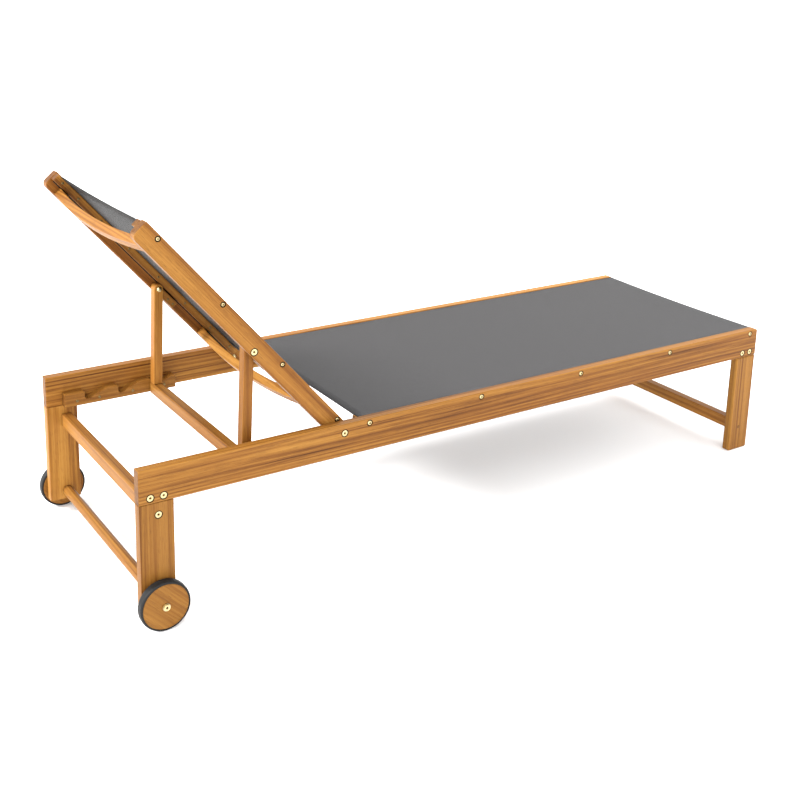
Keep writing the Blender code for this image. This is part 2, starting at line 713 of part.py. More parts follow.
# ---------------------------------------------------------------- fastener sets
def add_frame_bolts(label, side):
    """The bolts that show on the outside of one side of the frame."""
    rise = RAIL_BOTTOM + LEG_BOLT_RISE
    length = SHORT_BOLT - 0.0015
    for number, place_x in enumerate(HEAD_BOLT_PLACES, 1):
        add_bolt(f"head_rail_bolt_{label}_{number}", side, (HEAD_X + place_x, OUTER_Y, rise), length)
    for number, place_x in enumerate(FOOT_BOLT_PLACES, 1):
        add_bolt(f"foot_rail_bolt_{label}_{number}", side, (HEAD_X + place_x, OUTER_Y, rise), length)
    spot = (HEAD_X + CROSSBAR_BOLT_FROM_HEAD, OUTER_Y, CROSSBAR_BOLT_HEIGHT)
    add_bolt("crossbar_bolt_" + label, side, spot, CROSSBAR_BOLT)
    reach = OUTER_Y - SINK_DEPTH + BOLT_HEAD_THICK + GAP
    add_bolt(
        "back_pivot_bolt_" + label,
        side,
        (PIVOT_X, OUTER_Y, PIVOT_Z),
        reach - BACK_INNER_Y,
        shank_radius=PIVOT_BOLT_RADIUS,
    )
    add_cap_nut("back_pivot_nut_" + label, side, (PIVOT_X, BACK_INNER_Y, PIVOT_Z))


def add_prop_bolts(label, side, pivot):
    """Bolt and cap nut of one prop leg, held by the back rail."""
    reach = BACK_OUTER_Y - SINK_DEPTH + BOLT_HEAD_THICK + GAP
    inner = prop_leg_face() - PROP_LEG_THICK
    spot = (-PROP_PIVOT_UP, BACK_OUTER_Y, -PROP_PIVOT_BACK)
    add_bolt("prop_bolt_" + label, side, spot, reach - inner, pivot, PIVOT_BOLT_RADIUS)
    add_cap_nut("prop_nut_" + label, side, (spot[0], inner, spot[2]), pivot)


# ------------------------------------------------------------------- build
def add_pivots():
    """Empties on the backrest's and the prop's joint axes."""
    back = pivot_empty("backrest_pivot", (PIVOT_X, 0, PIVOT_Z), BACK_ANGLE)
    local = Vector((-PROP_PIVOT_UP, 0, -PROP_PIVOT_BACK))
    spot = Matrix.Rotation(BACK_ANGLE, 3, "Y") @ local + Vector((PIVOT_X, 0, PIVOT_Z))
    prop = pivot_empty("prop_pivot", spot, PROP_LEAN)
    return back, prop


def main():
    """Build the lounger in an empty scene."""
    for old in list(bpy.data.objects):
        bpy.data.objects.remove(old)
    back, prop = add_pivots()
    add_head_crossbar()
    add_foot_stretcher()
    add_axle_bar()
    add_seat_sling()
    add_back_sling(back)
    add_prop_crossbar(prop)
    for name, place_x in SEAT_BOW_PLACES.items():
        add_seat_bow(name, place_x)
    for name, place_up in BACK_BOW_PLACES.items():
        add_back_bow(name, place_up, back)
    for label, side in SIDES.items():
        add_side_rail("side_rail_" + label, side)
        head_high = HEAD_X + HEAD_LEG_WIDTH
        foot_low = FOOT_X - FOOT_LEG_WIDTH
        add_leg("head_leg_" + label, side, HEAD_X, head_high, HEAD_LEG_BOTTOM, HEAD_BOLT_PLACES)
        add_leg("foot_leg_" + label, side, foot_low, FOOT_X, 0.0, FOOT_BOLT_PLACES, FOOT_EASE)
        add_rack("rack_" + label, side)
        add_seat_batten("seat_batten_" + label, side)
        add_back_rail("back_rail_" + label, side, back)
        add_back_batten("back_batten_" + label, side, back)
        add_prop_stop("prop_stop_" + label, side, back)
        add_prop_leg("prop_leg_" + label, side, prop)
        add_wheel(label, side)
        add_axle_hardware(label, side)
        add_frame_bolts(label, side)
        add_prop_bolts(label, side, back)


main()
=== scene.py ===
"""Looks of the reclining sun lounger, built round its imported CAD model.

Everything is in metres in the row frame: +X towards the foot end, +Z up and
the floor at Z = 0. "right" is the side at -Y. BACK and PROP are the frames of
the backrest and the prop at rest: in BACK, -X runs up the backrest and +Z
points out of its front; in PROP, the legs hang straight down.
"""

import json
import math
import random

import bmesh
import bpy
from mathutils import Matrix, Vector


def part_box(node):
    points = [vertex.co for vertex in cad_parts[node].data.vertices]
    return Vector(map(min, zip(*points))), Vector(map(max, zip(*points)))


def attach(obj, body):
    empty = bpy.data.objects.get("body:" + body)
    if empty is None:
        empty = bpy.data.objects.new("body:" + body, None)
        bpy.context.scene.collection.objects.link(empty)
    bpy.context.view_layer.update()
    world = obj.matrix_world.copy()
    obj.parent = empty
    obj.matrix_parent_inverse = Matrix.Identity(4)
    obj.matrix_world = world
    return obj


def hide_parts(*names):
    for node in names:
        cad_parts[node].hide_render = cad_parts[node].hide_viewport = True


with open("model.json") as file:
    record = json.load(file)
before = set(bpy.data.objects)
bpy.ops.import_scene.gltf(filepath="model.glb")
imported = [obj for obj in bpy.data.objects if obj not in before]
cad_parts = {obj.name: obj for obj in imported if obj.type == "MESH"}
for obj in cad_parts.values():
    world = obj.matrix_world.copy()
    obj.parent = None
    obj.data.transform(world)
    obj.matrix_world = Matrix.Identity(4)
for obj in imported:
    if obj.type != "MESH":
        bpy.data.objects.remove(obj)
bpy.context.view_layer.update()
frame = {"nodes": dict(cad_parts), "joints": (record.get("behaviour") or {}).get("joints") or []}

NODES = frame["nodes"]
JOINTS = {joint["name"]: joint for joint in frame["joints"]}
SIDES = {"right": -1, "left": 1}
SEED = 7

SHARP = math.radians(38)
ROUND_STEPS = 24

# the cloth's thickness, the slots beside the battens and the roll into them
CLOTH = 0.0009
SLOT = 0.0022
ROLL = 0.0021
WRAP_BELOW_BATTEN = 0.0022
YARN_PITCH = 0.0016
WALL_STEPS = 3
ROLL_STEPS = 5
HALF_STEPS = 18
SEAT_COLUMNS = 60
BACK_COLUMNS = 36

# how far it sags, and how its screws pull it down at the slots
SEAT_SAG = 0.0035
BACK_SAG = 0.0045
SAG_AT_ENDS = 0.55
SAG_GAINED = 0.45
SAG_EASE = 0.10
EDGE_BOW = 0.0035
SCREW_PULL = 0.0005
SCREW_PULL_LENGTH = 0.035
SCREW_PULL_WIDTH = 0.022

# its hems and their thread
HEM_WIDTH = 0.024
HEM_GAP = 0.0010
HEM_INSET = 0.0012
HEM_STEPS = 24
HEM_SHADE = 0.8
STITCH_PITCH = 0.0042
STITCH_LENGTH = 0.0030
STITCH_ROWS = (0.0135, 0.0175)
STITCH_PROFILE = ((-0.5, 0.25), (-0.25, 0.9), (0.25, 0.9), (0.5, 0.25))
THREAD_HALF_WIDTH = 0.00038
THREAD_HALF_HEIGHT = 0.00030

# screws: places run from a rail's or rack's head end, or up the backrest;
# radii are (dark ring of painted shade under the head, head)
SEAT_SCREW_PLACES = (0.538, 0.8465, 1.155, 1.4635, 1.772)
SEAT_SCREW_DROP = 0.0105
SEAT_SCREW_RADII = (0.0072, 0.0054)
BACK_SCREW_PLACES = (0.0204, 0.2240, 0.4276, 0.6312)
BACK_SCREW_RISE = 0.0125
BACK_SCREW_RADII = (0.0062, 0.0041)
CAP_SINK = 0.0016
CAP_HEIGHT = 0.0022
CAP_SOCKET_FLOOR = 0.36
RACK_SCREW_PLACES = (0.0300, 0.0850, 0.1690, 0.2500)
RACK_SCREW_RISE = 0.0120
RACK_SCREW_RADIUS = 0.0036
SEAT_BATTEN_SCREWS = 9
SEAT_BATTEN_SCREW_INSET = 0.03
BACK_BATTEN_SCREW_PLACES = (0.040, 0.118, 0.217, 0.318, 0.424, 0.523, 0.600, 0.652)
BATTEN_SCREW_RADIUS = 0.0030
PROP_STOP_SCREW_INSETS = (0.008, 0.026)
PROP_STOP_SCREW_RADIUS = 0.0032
PROP_BAR_SCREW_INSET = 0.012
PROP_BAR_SCREW_RADIUS = 0.0042

# bolts: a dark ring of painted shadow round a head and painted shade on the floor of its socket
RING_GAP = 0.0001
RING_REACH = 0.0021
RING_LOW = 0.00034
RING_HIGH = 0.00055
BOLT_SOCKET = ((0.0024, -0.00175), (0.0024, -0.0014), (0.0019, -0.0012))

# the prop's rounded ends and the plugs on the foot legs
PROP_END_RADIUS = 0.0071
PROP_END_DROP = 0.0075
PROP_END_CLEARANCE = 0.0012
PROP_END_OVERLAP = 0.0004
PROP_END_TONE = 0.92
PLUG_DROP = 0.004
PLUG_PROFILE = ((0.0046, -0.0004), (0.0046, 0.0002), (0.0040, 0.0005))
PLUG_TONE = 0.50

# colours
CLOTH_DARK = (0.0155, 0.0147, 0.0152)
CLOTH_LIGHT = (0.0375, 0.0358, 0.0366)
# painted shade colour for the cloth in the slots and on its underside
CLOTH_PAINTED_SHADE = (0.0060, 0.0056, 0.0056)
THREAD = (0.030, 0.030, 0.031)
BRASS = (0.60, 0.48, 0.25)
# painted shade colour for the dark rings round screw and bolt heads and for their socket floors
PAINTED_SHADE_DARK = (0.026, 0.019, 0.011)
SCREW_STEEL = (0.20, 0.14, 0.06)
WASHER_STEEL = (0.46, 0.37, 0.22)
TYRE_RUBBER = (0.0040, 0.0040, 0.0042)
NYLON = (0.05, 0.05, 0.05)
WOOD_STOPS = (
    (0.04, (0.053, 0.0173, 0.0030)),
    (0.26, (0.122, 0.0430, 0.0068)),
    (0.48, (0.213, 0.0870, 0.0142)),
    (0.70, (0.277, 0.1248, 0.0230)),
    (0.96, (0.336, 0.1638, 0.0340)),
)
WOOD_PATCH = (0.190, 0.064, 0.0125)
WOOD_PORE = (0.055, 0.019, 0.0045)
END_GRAIN_DARK = (0.46, 0.42, 0.42)
END_GRAIN_LIGHT = (0.62, 0.58, 0.58)

# wood: noise scales along and across the grain, and how much each layer counts
STREAK_SCALE = (0.80, 150.0, 150.0)
WIDE_SCALE = (0.42, 34.0, 34.0)
FIBRE_SCALE = (14.0, 640.0, 640.0)
PORE_SCALE = (40.0, 1500.0, 1500.0)
VEIN_SCALE = (0.45, 85.0, 85.0)
PATCH_SCALE = (1.6, 9.0, 9.0)
SPECKLE_SCALE = (300.0, 300.0, 300.0)
WOOD_OFFSET = -0.96
STREAK_SHARE = 1.30
WIDE_SHARE = 1.05
RING_SHARE = 0.20
VEIN_SHARE = 0.17
FIBRE_SHARE = 0.46
CONTRAST_MIDDLE = 0.55
HEARTWOOD_SPREAD = 0.017
RING_PITCH = (0.0050, 0.0074)
# painted light and shade: per-board multipliers that paint far-side and shaded boards lighter and
# some well-lit near boards darker
BOARD_PAINTED_LIGHT = {
    "side_rail_left": 1.32,
    "head_leg_left": 1.26,
    "head_leg_right": 0.88,
    "wheel_disc_right": 0.88,
    "back_rail_right": 0.94,
    "prop_leg_left": 1.45,
    "head_bow": 1.25,
    "lumbar_bow": 1.20,
    "foot_stretcher": 1.15,
}

# stage: suns as (name, direction they come from, strength, width in degrees)
FLOOR_HALF = 80.0
FLOOR_DROP = 0.0004
FLOOR_COLOUR = (0.97, 0.97, 0.97, 1.0)
WORLD_STRENGTH = 1.75
SUNS = (
    ("key", (-0.55, -0.90, 0.55), 1.30, 40.0),
    ("top", (0.25, -0.30, 1.00), 0.50, 60.0),
    ("head", (-1.30, 0.40, 1.00), 4.40, 14.0),
)
CAMERA_SPOT = (-1.6825, -2.3976, 1.4010)
CAMERA_YAW = math.radians(33.656)
CAMERA_PITCH = math.radians(14.540)
CAMERA_ROLL = math.radians(1.488)
CAMERA_LENS = 54.358
CAMERA_SHIFT = -0.20


# ------------------------------------------------------------------ places
def local_box(node_name, matrix):
    """Lowest and highest corner of a CAD node in a frame of its own."""
    inverse = matrix.inverted()
    points = [inverse @ vertex.co for vertex in NODES[node_name].data.vertices]
    low = Vector([min(point[axis] for point in points) for axis in range(3)])
    high = Vector([max(point[axis] for point in points) for axis in range(3)])
    return low, high


def middle(node_name):
    """Centre of a CAD node's box."""
    low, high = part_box(node_name)
    return (low + high) / 2


back_joint = JOINTS["backrest_recline"]
BACK_ANGLE = math.radians(back_joint["range_deg"][1])
BACK = Matrix.Translation(back_joint["pos_m"]) @ Matrix.Rotation(BACK_ANGLE, 4, "Y")
prop_spot = Vector(JOINTS["prop_swing"]["pos_m"])
prop_bar = middle("prop_crossbar")
PROP_LEAN = math.atan2(prop_spot.x - prop_bar.x, prop_spot.z - prop_bar.z)
PROP = Matrix.Translation(prop_spot) @ Matrix.Rotation(PROP_LEAN, 4, "Y")
FRAME = Matrix.Identity(4)


# --------------------------------------------------------------- materials
def node(tree, kind, sockets=None, **settings):
    """Add a shader node; a socket is linked if its value is one, or else set."""
    made = tree.nodes.new(kind)
    for key, value in settings.items():
        setattr(made, key, value)
    for key, value in (sockets or {}).items():
        if isinstance(value, bpy.types.NodeSocket):
            tree.links.new(value, made.inputs[key])
        else:
            made.inputs[key].default_value = value
    return made


def calc(tree, operation, first, second=0.0, third=0.5, clamp=False):
    """A Math node's output; only MULTIPLY_ADD reads the third value."""
    sockets = {0: first, 1: second, 2: third}
    return node(tree, "ShaderNodeMath", sockets, operation=operation, use_clamp=clamp).outputs[0]


def vector_calc(tree, operation, first, second):
    """A Vector Math node."""
    return node(tree, "ShaderNodeVectorMath", {0: first, 1: second}, operation=operation)


def scattered(tree, place, rng, reach=9):
    """Coordinates moved by a random step, so that no two pieces match."""
    step = [rng.uniform(-reach, reach) for _ in range(3)]
    return vector_calc(tree, "ADD", place, step).outputs[0]


def stretched(tree, place, scale):
    """Coordinates multiplied axis by axis."""
    return vector_calc(tree, "MULTIPLY", place, scale).outputs[0]


def noise(tree, place, detail=2.0, roughness=0.5):
    """Noise in 0 to 1."""
    sockets = {"Vector": place, "Scale": 1.0, "Detail": detail, "Roughness": roughness}
    return node(tree, "ShaderNodeTexNoise", sockets).outputs[0]


def spread(tree, value, low, high, to_low=0.0, to_high=1.0):
    """Map a range onto another, clamped."""
    sockets = {"Value": value, "From Min": low, "From Max": high}
    sockets.update({"To Min": to_low, "To Max": to_high})
    return node(tree, "ShaderNodeMapRange", sockets, clamp=True).outputs[0]


def ramp(tree, value, stops):
    """Colours along a value."""
    made = node(tree, "ShaderNodeValToRGB", {0: value})
    band = made.color_ramp
    while len(band.elements) < len(stops):
        band.elements.new(0.5)
    for element, (position, colour) in zip(band.elements, stops):
        element.position = position
        element.color = (*colour, 1.0)
    return made.outputs[0]


def mixed(tree, factor, first, second, blend="MIX"):
    """Mix two colours."""
    made = node(tree, "ShaderNodeMix", data_type="RGBA", blend_type=blend)
    for index, value in ((0, factor), (6, first), (7, second)):
        if isinstance(value, bpy.types.NodeSocket):
            tree.links.new(value, made.inputs[index])
        elif index == 0:
            made.inputs[index].default_value = value
        else:
            made.inputs[index].default_value = (*value, 1.0)
    return made.outputs[2]


def bump(tree, shader, height, strength, distance):
    """Wire a height into a shader's normal."""
    sockets = {"Strength": strength, "Distance": distance, "Height": height}
    made = node(tree, "ShaderNodeBump", sockets)
    tree.links.new(made.outputs[0], shader.inputs["Normal"])


def blank_material(name):
    """A material with its Principled shader."""
    made = bpy.data.materials.new(name)
    made.use_nodes = True
    tree = made.node_tree
    return made, tree, tree.nodes["Principled BSDF"]


def wood_ring(tree, near, far, rng, wander):
    """Growth rings about a pith line that drifts beside the board."""
    parts = node(tree, "ShaderNodeSeparateXYZ", {0: near}).outputs
    drift = noise(tree, stretched(tree, far, (1.1, 0.0, 0.0)), 1.0)
    lean = noise(tree, stretched(tree, far, (0.8, 0.3, 0.3)), 1.0)
    drift_reach = wander * rng.uniform(0.030, 0.050)
    pith_depth = rng.choice((-1, 1)) * rng.uniform(0.034, 0.060)
    depth = calc(tree, "MULTIPLY_ADD", drift, drift_reach, pith_depth)
    lean_reach = wander * rng.uniform(0.020, 0.040)
    shift = calc(tree, "MULTIPLY_ADD", lean, lean_reach, rng.uniform(-0.035, 0.010))
    across = calc(tree, "ADD", parts[1], depth)
    down = calc(tree, "ADD", parts[2], shift)
    place = node(tree, "ShaderNodeCombineXYZ", {0: 0.0, 1: across, 2: down}).outputs[0]
    sockets = {0: place}
    radius = node(tree, "ShaderNodeVectorMath", sockets, operation="LENGTH").outputs["Value"]
    ragged = noise(tree, stretched(tree, far, (1.3, 60.0, 60.0)), 3.0, 0.6)
    ragged = calc(tree, "MULTIPLY", ragged, 4.5)
    turns = calc(tree, "MULTIPLY_ADD", radius, 2 * math.pi / rng.uniform(*RING_PITCH), ragged)
    return spread(tree, calc(tree, "SINE", turns), -1.0, 1.0)


def heartwood(tree, near, offset, amount):
    """Darkening towards one line that runs along the board."""
    down = node(tree, "ShaderNodeSeparateXYZ", {0: near}).outputs[2]
    away = calc(tree, "ABSOLUTE", calc(tree, "SUBTRACT", down, offset))
    return spread(tree, away, 0.35 * HEARTWOOD_SPREAD, HEARTWOOD_SPREAD, amount, 0.0)


def wood_value(tree, far, ring, fibre, dark_line, contrast):
    """Place between the darkest and the lightest wood colour, from all layers."""
    streak = noise(tree, stretched(tree, far, STREAK_SCALE), 6.0, 0.78)
    wide = noise(tree, stretched(tree, far, WIDE_SCALE), 2.0, 0.5)
    vein = noise(tree, stretched(tree, far, VEIN_SCALE), 2.0, 0.5)
    off_vein = calc(tree, "ABSOLUTE", calc(tree, "SUBTRACT", vein, 0.5))
    vein = spread(tree, off_vein, 0.0, 0.030, 1.0, 0.0)
    value = calc(tree, "MULTIPLY_ADD", streak, STREAK_SHARE, WOOD_OFFSET)
    value = calc(tree, "ADD", value, calc(tree, "MULTIPLY", wide, WIDE_SHARE))
    value = calc(tree, "ADD", value, calc(tree, "MULTIPLY", ring, RING_SHARE))
    value = calc(tree, "SUBTRACT", value, calc(tree, "MULTIPLY", vein, VEIN_SHARE))
    if dark_line is not None:
        value = calc(tree, "SUBTRACT", value, dark_line)
    value = calc(tree, "ADD", value, calc(tree, "MULTIPLY", fibre, FIBRE_SHARE))
    lift = CONTRAST_MIDDLE * (1.0 - contrast)
    return calc(tree, "MULTIPLY_ADD", value, contrast, lift, clamp=True)


def end_grain(tree, colour, far, normal, axis):
    """The colour darkened and speckled on faces across the grain."""
    facing = vector_calc(tree, "DOT_PRODUCT", normal, axis).outputs["Value"]
    end = spread(tree, calc(tree, "ABSOLUTE", facing), 0.80, 0.97)
    speckle = noise(tree, stretched(tree, far, SPECKLE_SCALE), 2.0)
    speckle = spread(tree, speckle, 0.35, 0.65)
    end_colour = mixed(tree, speckle, END_GRAIN_DARK, END_GRAIN_LIGHT)
    return mixed(tree, end, colour, mixed(tree, 1.0, colour, end_colour, "MULTIPLY"))


def wood_material(name, turn, centre, axis, rng, tone, wander=1.0, heart=None, contrast=1.0):
    """Oiled acacia whose grain runs along one axis of its board."""
    made, tree, shader = blank_material("wood_" + name)
    coordinates = node(tree, "ShaderNodeTexCoord").outputs
    home = Matrix.Identity(3)
    for index, angle in enumerate(turn):
        home = Matrix.Rotation(angle, 3, "XYZ"[index]) @ home
    back = -(home @ centre)
    sockets = {"Vector": coordinates["Object"], "Rotation": turn, "Location": back}
    near = node(tree, "ShaderNodeMapping", sockets).outputs[0]
    far = scattered(tree, near, rng, 20)
    ring = wood_ring(tree, near, far, rng, wander)
    fibre = noise(tree, stretched(tree, far, FIBRE_SCALE), 3.0, 0.6)
    pore = spread(tree, noise(tree, stretched(tree, far, PORE_SCALE), 1.0), 0.62, 0.70)
    dark_line = heartwood(tree, near, *heart) if heart else None
    value = wood_value(tree, far, ring, fibre, dark_line, contrast)
    colour = ramp(tree, value, WOOD_STOPS)
    patch = noise(tree, stretched(tree, far, PATCH_SCALE), 2.0, 0.5)
    colour = mixed(tree, spread(tree, patch, 0.45, 0.75, 0.0, 0.35), colour, WOOD_PATCH)
    colour = mixed(tree, calc(tree, "MULTIPLY", pore, 0.50), colour, WOOD_PORE)
    shade = rng.uniform(-0.05, 0.05)
    tint = (tone, tone * (1.0 + shade * 0.5), tone * (1.0 + shade))
    colour = mixed(tree, 1.0, colour, tint, "MULTIPLY")
    colour = end_grain(tree, colour, far, coordinates["Normal"], axis)
    tree.links.new(colour, shader.inputs["Base Color"])
    tree.links.new(spread(tree, fibre, 0.3, 0.7, 0.38, 0.54), shader.inputs["Roughness"])
    shader.inputs["Specular IOR Level"].default_value = 0.13
    height = calc(tree, "MULTIPLY", fibre, 0.7)
    height = calc(tree, "SUBTRACT", height, calc(tree, "MULTIPLY", pore, 0.8))
    height = calc(tree, "ADD", height, calc(tree, "MULTIPLY", ring, 0.15))
    bump(tree, shader, height, 0.30, 0.0003)
    return made


def fabric_material(name, dark, light, rng, border):
    """Woven coated mesh of flat yarns, with painted shade past its border and on faces that turn
    down.
    """
    made, tree, shader = blank_material("fabric_" + name)
    coordinates = node(tree, "ShaderNodeTexCoord").outputs
    place = coordinates["Object"]
    turns = stretched(tree, place, (math.pi / YARN_PITCH,) * 3)
    x, y, _ = node(tree, "ShaderNodeSeparateXYZ", {0: turns}).outputs
    weft = calc(tree, "ABSOLUTE", calc(tree, "COSINE", x))
    warp = calc(tree, "ABSOLUTE", calc(tree, "COSINE", y))
    over = calc(tree, "MULTIPLY", calc(tree, "SINE", x), calc(tree, "SINE", y))
    over = spread(tree, over, -0.15, 0.15)
    height = node(tree, "ShaderNodeMix", {0: over, 2: weft, 3: warp}).outputs[0]
    far = scattered(tree, place, rng)
    long_yarn = noise(tree, stretched(tree, far, (9.0, 700.0, 1.0)), 2.0)
    cross_yarn = noise(tree, stretched(tree, far, (700.0, 9.0, 1.0)), 2.0)
    yarn = calc(tree, "MULTIPLY", calc(tree, "ADD", long_yarn, cross_yarn), 0.5)
    cloud = noise(tree, stretched(tree, far, (5.0, 5.0, 5.0)), 3.0)
    value = calc(tree, "MULTIPLY_ADD", height, 0.55, calc(tree, "MULTIPLY_ADD", yarn, 0.7))
    value = calc(tree, "ADD", value, calc(tree, "MULTIPLY_ADD", cloud, 0.28))
    value = calc(tree, "SUBTRACT", value, 0.25, clamp=True)
    # painted shade: the cloth past its border, rolled into the slots, takes the shade colour
    side = node(tree, "ShaderNodeSeparateXYZ", {0: place}).outputs[1]
    rolled_in_shade = spread(tree, calc(tree, "ABSOLUTE", side), border, border + 0.8 * ROLL)
    colour = mixed(tree, rolled_in_shade, mixed(tree, value, dark, light), CLOTH_PAINTED_SHADE)
    # painted shade: faces that turn down, underneath and on folded edges, take the shade colour
    facing = node(tree, "ShaderNodeSeparateXYZ", {0: coordinates["Normal"]}).outputs[2]
    colour = mixed(tree, spread(tree, facing, 0.15, 0.75, 1.0, 0.0), colour, CLOTH_PAINTED_SHADE)
    tree.links.new(colour, shader.inputs["Base Color"])
    tree.links.new(spread(tree, height, 0.0, 1.0, 0.72, 0.50), shader.inputs["Roughness"])
    shader.inputs["Specular IOR Level"].default_value = 0.16
    shader.inputs["Sheen Weight"].default_value = 0.02
    bump(tree, shader, height, 0.55, 0.0003)
    return made


def metal_material(name, colour, roughness, rng):
    """Plated steel with fine scratches and a little tarnish."""
    made, tree, shader = blank_material(name)
    place = node(tree, "ShaderNodeTexCoord").outputs["Object"]
    far = scattered(tree, place, rng)
    tarnish = noise(tree, stretched(tree, far, (180.0, 180.0, 180.0)), 3.0)
    scratch = noise(tree, stretched(tree, far, (2500.0, 250.0, 900.0)), 2.0)
    darker = tuple(0.62 * channel for channel in colour)
    shown = mixed(tree, spread(tree, tarnish, 0.45, 0.75), colour, darker)
    tree.links.new(shown, shader.inputs["Base Color"])
    rough = calc(tree, "ADD", calc(tree, "MULTIPLY", scratch, 0.22), roughness - 0.11)
    tree.links.new(rough, shader.inputs["Roughness"])
    shader.inputs["Metallic"].default_value = 1.0
    bump(tree, shader, scratch, 0.15, 0.0001)
    return made


def rubber_material(name, colour, rng):
    """Moulded rubber or nylon: fine grain with scuffs."""
    made, tree, shader = blank_material(name)
    place = node(tree, "ShaderNodeTexCoord").outputs["Object"]
    far = scattered(tree, place, rng)
    grain = noise(tree, stretched(tree, far, (1600.0, 1600.0, 1600.0)), 2.0)
    scuff = noise(tree, stretched(tree, far, (60.0, 60.0, 60.0)), 4.0, 0.65)
    dusty = tuple(channel * 1.6 + 0.003 for channel in colour)
    shown = mixed(tree, spread(tree, scuff, 0.52, 0.72, 0.0, 0.7), colour, dusty)
    tree.links.new(shown, shader.inputs["Base Color"])
    tree.links.new(spread(tree, scuff, 0.3, 0.7, 0.42, 0.66), shader.inputs["Roughness"])
    shader.inputs["Specular IOR Level"].default_value = 0.25
    bump(tree, shader, grain, 0.30, 0.0002)
    return made


# ------------------------------------------------------------- mesh pieces
def placed(name, data):
    """A new object in the scene."""
    made = bpy.data.objects.new(name, data)
    bpy.context.scene.collection.objects.link(made)
    return made


def piece(name, bm, matrix, body, material):
    """Make a bmesh into a piece that rides on a body."""
    bmesh.ops.recalc_face_normals(bm, faces=bm.faces)
    mesh = bpy.data.meshes.new(name)
    bm.to_mesh(mesh)
    bm.free()
    mesh.shade_smooth()
    mesh.set_sharp_from_angle(angle=SHARP)
    mesh.materials.append(material)
    made = placed(name, mesh)
    made.matrix_world = matrix
    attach(made, body)
    return made


def loop(bm, matrix, points):
    """Vertices at (x, y, z) points put through a matrix."""
    return [bm.verts.new(matrix @ Vector(point)) for point in points]


def band(bm, first, second):
    """Faces between two loops of equal length."""
    count = len(first)
    for step in range(count):
        after = (step + 1) % count
        bm.faces.new((first[step], first[after], second[after], second[step]))


def closed(bm, loops):
    """Solid through a row of loops, with a face over each end."""
    for first, second in zip(loops, loops[1:]):
        band(bm, first, second)
    bm.faces.new(loops[0])
    bm.faces.new(loops[-1])


def circle(radius, z, count=ROUND_STEPS):
    """Points round the Z axis."""
    steps = [2 * math.pi * step / count for step in range(count)]
    return [(radius * math.cos(angle), radius * math.sin(angle), z) for angle in steps]


def hex_outline(radius, z):
    """Points round a hexagon, evenly turned."""
    points = []
    for step in range(ROUND_STEPS):
        angle = 2 * math.pi * step / ROUND_STEPS
        bend = math.cos(math.pi / 6) / math.cos(angle % (math.pi / 3) - math.pi / 6)
        points.append((radius * bend * math.cos(angle), radius * bend * math.sin(angle), z))
    return points


def cross_outline(radius, z):
    """Points round a cross-head recess, evenly turned."""
    points = []
    for step in range(ROUND_STEPS):
        angle = 2 * math.pi * step / ROUND_STEPS
        reach = max(abs(math.cos(2 * angle)), 0.30) * radius
        points.append((reach * math.cos(angle), reach * math.sin(angle), z))
    return points


def lathe(bm, matrix, profile, count=ROUND_STEPS):
    """Closed solid round Z from (radius, z) points."""
    closed(bm, [loop(bm, matrix, circle(radius, z, count)) for radius, z in profile])


def annulus(bm, matrix, inside, outside, low, high):
    """Closed flat ring round Z."""
    corners = ((inside, low), (outside, low), (outside, high), (inside, high))
    loops = [loop(bm, matrix, circle(radius, z)) for radius, z in corners]
    for first, second in zip(loops, loops[1:] + loops[:1]):
        band(bm, first, second)


def screw_head(bm, matrix, radius, height, outline):
    """Domed head on the plane z = 0 with a recess in its top."""
    dome = ((0.96, -0.10), (1.0, 0.10), (0.96, 0.45), (0.80, 0.82), (0.62, 1.0))
    loops = [loop(bm, matrix, circle(radius * share, height * rise)) for share, rise in dome]
    for share, rise in ((0.46, 1.02), (0.42, 0.35)):
        loops.append(loop(bm, matrix, outline(radius * share, height * rise)))
    closed(bm, loops)


def outward(side, spot, spin=0.0):
    """A frame at a spot whose Z axis points out of the right or left side."""
    turn = Matrix.Rotation(-side * math.pi / 2, 4, "X") @ Matrix.Rotation(spin, 4, "Z")
    return Matrix.Translation(Vector(spot)) @ turn


def inner_face(box, side):
    """Where a right or left board's face nearest the middle lies on Y."""
    low, high = box
    return side * min(abs(low.y), abs(high.y))


# ------------------------------------------------------------------ slings
class Sling:
    """One sling: where its cloth lies in its own frame."""

    def __init__(self, name, body, matrix, cad_node, batten, face, sag, screws):
        self.name = name
        self.body = body
        self.matrix = matrix
        self.cad_node = cad_node
        low, high = local_box(cad_node, matrix)
        self.start = low.x
        self.end = high.x
        self.top = high.z
        batten_low, batten_high = local_box(batten, matrix)
        self.slot_low = batten_low.z - WRAP_BELOW_BATTEN
        self.inside = min(abs(batten_low.y), abs(batten_high.y))
        self.slot = face - SLOT / 2
        self.flat = self.slot - ROLL
        self.sag = sag
        self.screws = screws

    def height(self, x, y):
        """Height of the cloth's middle layer over its flat part."""
        share = max(0.0, 1.0 - (y / self.flat) ** 2)
        inset = min(x - self.start, self.end - x) / SAG_EASE
        ease = SAG_AT_ENDS + SAG_GAINED * min(1.0, max(0.0, inset))
        pull = sum(math.exp(-((x - screw) / SCREW_PULL_LENGTH) ** 2) for screw in self.screws)
        edge = math.exp(-((self.flat - abs(y)) / SCREW_PULL_WIDTH) ** 2)
        return self.top - CLOTH / 2 - self.sag * ease * share - SCREW_PULL * pull * edge

    def run(self, x_share, y):
        """Place along the sling; its free ends bow inwards."""
        bow = EDGE_BOW * max(0.0, 1.0 - (y / self.flat) ** 2)
        return self.start + bow + (self.end - self.start - 2 * bow) * x_share


